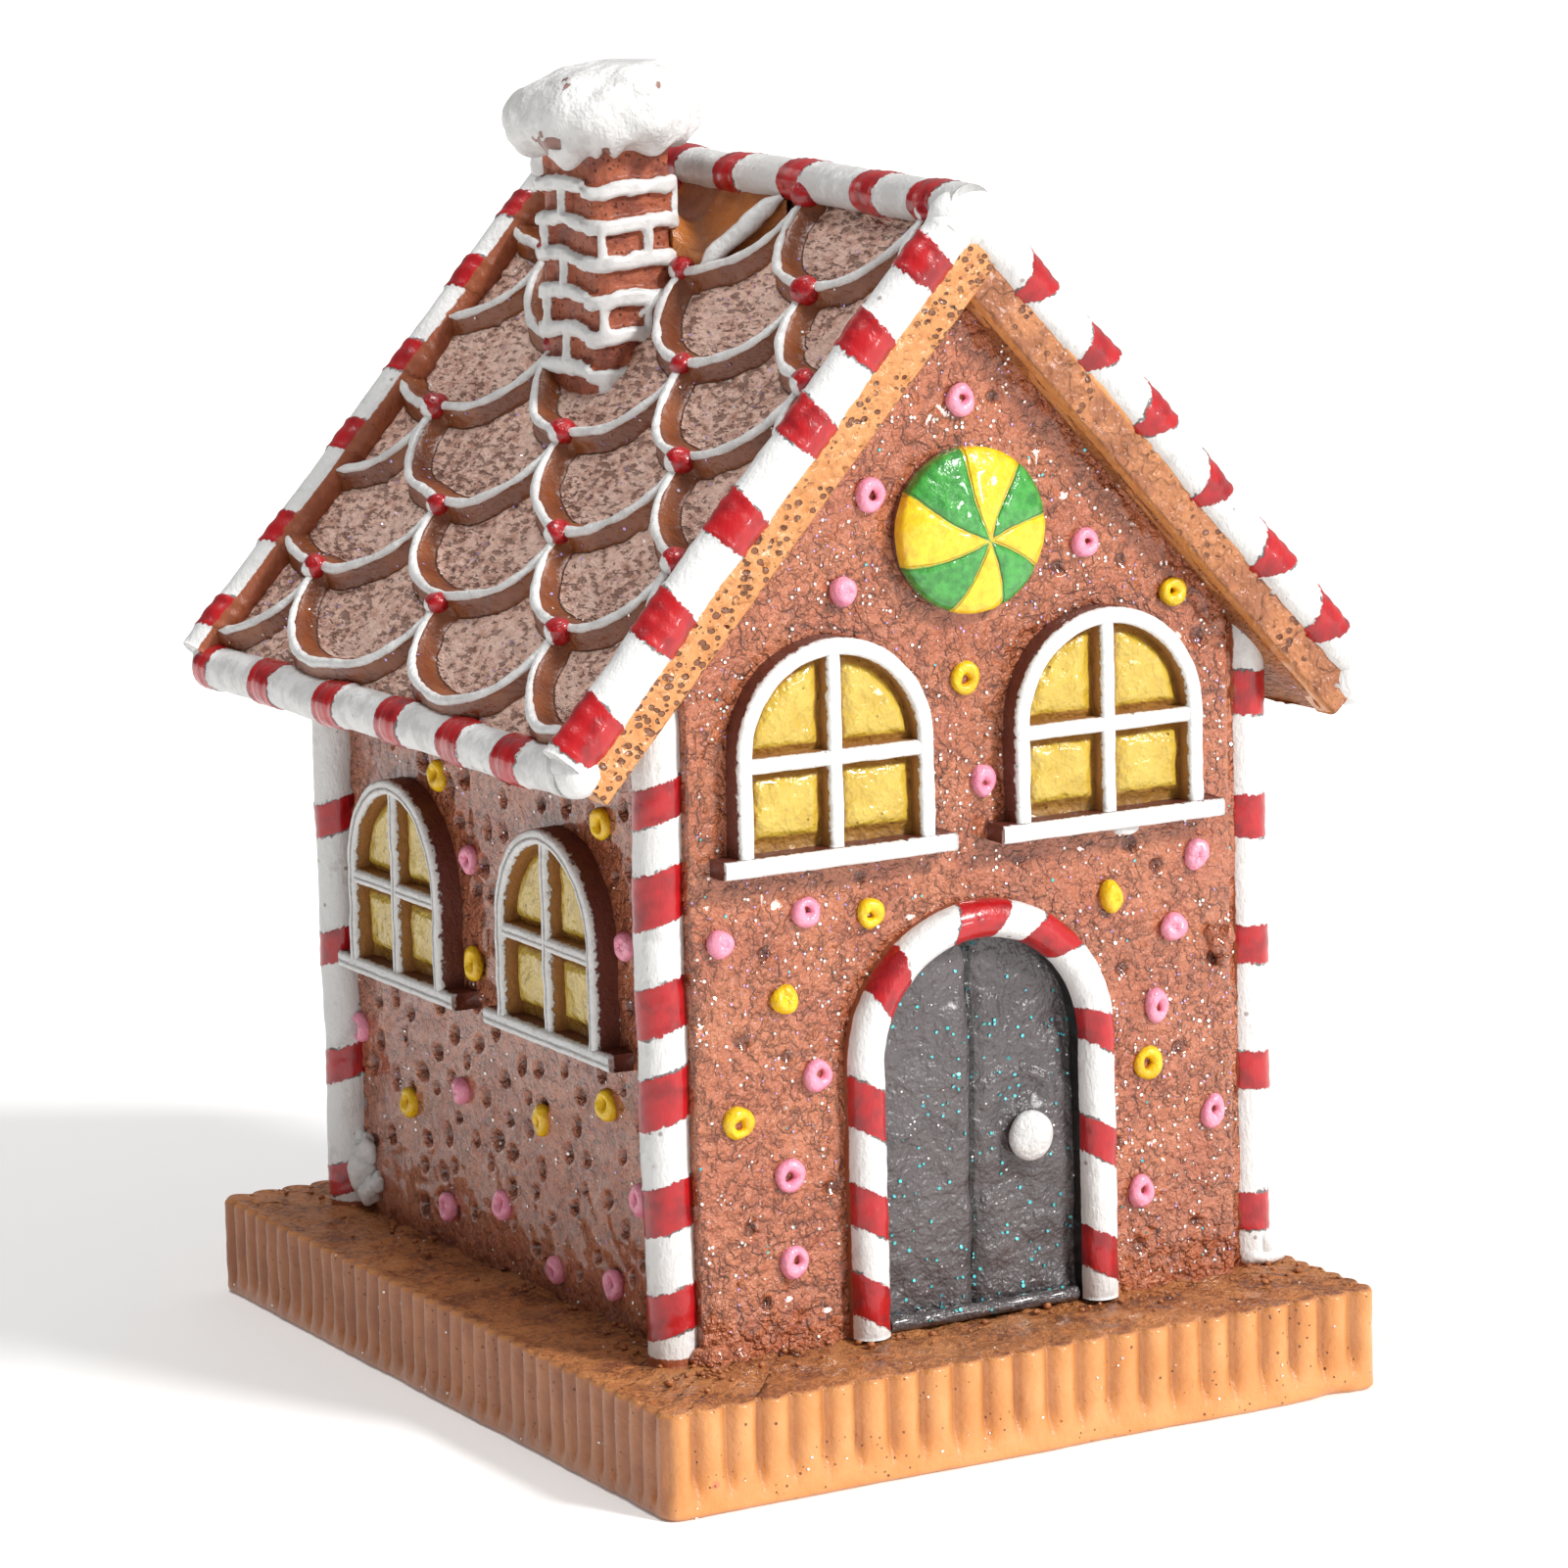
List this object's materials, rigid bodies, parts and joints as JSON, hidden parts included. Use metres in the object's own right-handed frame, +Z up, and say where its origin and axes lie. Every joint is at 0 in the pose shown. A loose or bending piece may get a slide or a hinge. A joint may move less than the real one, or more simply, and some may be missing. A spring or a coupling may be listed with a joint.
{
  "type": "gingerbread house",
  "caption": "Small gingerbread house with candy cane corners, scalloped roof, arched windows and door and a snowy chimney, on a fluted board.",
  "frame": {"origin": "on the table, under the middle of the whole outline, below the house's ridge", "axes": "+Z up, -Y out of the door, +X to the right of someone facing the door"},
  "size_m": [0.074, 0.0824, 0.1054],
  "materials": {
    "amber_biscuit": "satin, pitted, with fine glitter",
    "brown_biscuit": "wrinkled gloss lacquer with fine glitter",
    "striped_cane": "brushed white paint with red bands, satin",
    "white_icing": "brushed white paint, satin",
    "yellow_glaze": "thick clear gloss over yellow paint",
    "slate_door": "dark grey paint with blue glitter",
    "yellow_green_sweet": "gloss paint, yellow and green wedges",
    "roof_biscuit": "rough, pitted, with glitter",
    "chimney_brick": "satin brick paint with white joints"
  },
  "bodies": {
    "root": {"board": "amber_biscuit", "chimney_saddle": "amber_biscuit", "chimney_snow": "white_icing", "chimney_stack": "chimney_brick", "door": "slate_door", "door_cane": "striped_cane", "door_knob": "white_icing", "eave_cane_left": "striped_cane", "eave_cane_right": "striped_cane", "gable_sweet": "yellow_green_sweet", "post_back_left": "striped_cane", "post_back_right": "striped_cane", "post_front_left": "striped_cane", "post_front_right": "striped_cane", "ridge_cane": "striped_cane", "roof_left": "roof_biscuit", "roof_right": "roof_biscuit", "verge_board_back_left": "amber_biscuit", "verge_board_back_right": "amber_biscuit", "verge_board_front_left": "amber_biscuit", "verge_board_front_right": "amber_biscuit", "verge_cane_back_left": "striped_cane", "verge_cane_back_right": "striped_cane", "verge_cane_front_left": "striped_cane", "verge_cane_front_right": "striped_cane", "walls": "brown_biscuit", "window_back_left_frame": "white_icing", "window_back_left_pane": "yellow_glaze", "window_back_right_frame": "white_icing", "window_back_right_pane": "yellow_glaze", "window_front_left_frame": "white_icing", "window_front_left_pane": "yellow_glaze", "window_front_right_frame": "white_icing", "window_front_right_pane": "yellow_glaze", "window_left_far_frame": "white_icing", "window_left_far_pane": "yellow_glaze", "window_left_near_frame": "white_icing", "window_left_near_pane": "yellow_glaze", "window_right_far_frame": "white_icing", "window_right_far_pane": "yellow_glaze", "window_right_near_frame": "white_icing", "window_right_near_pane": "yellow_glaze"}
  },
  "joints": []
}
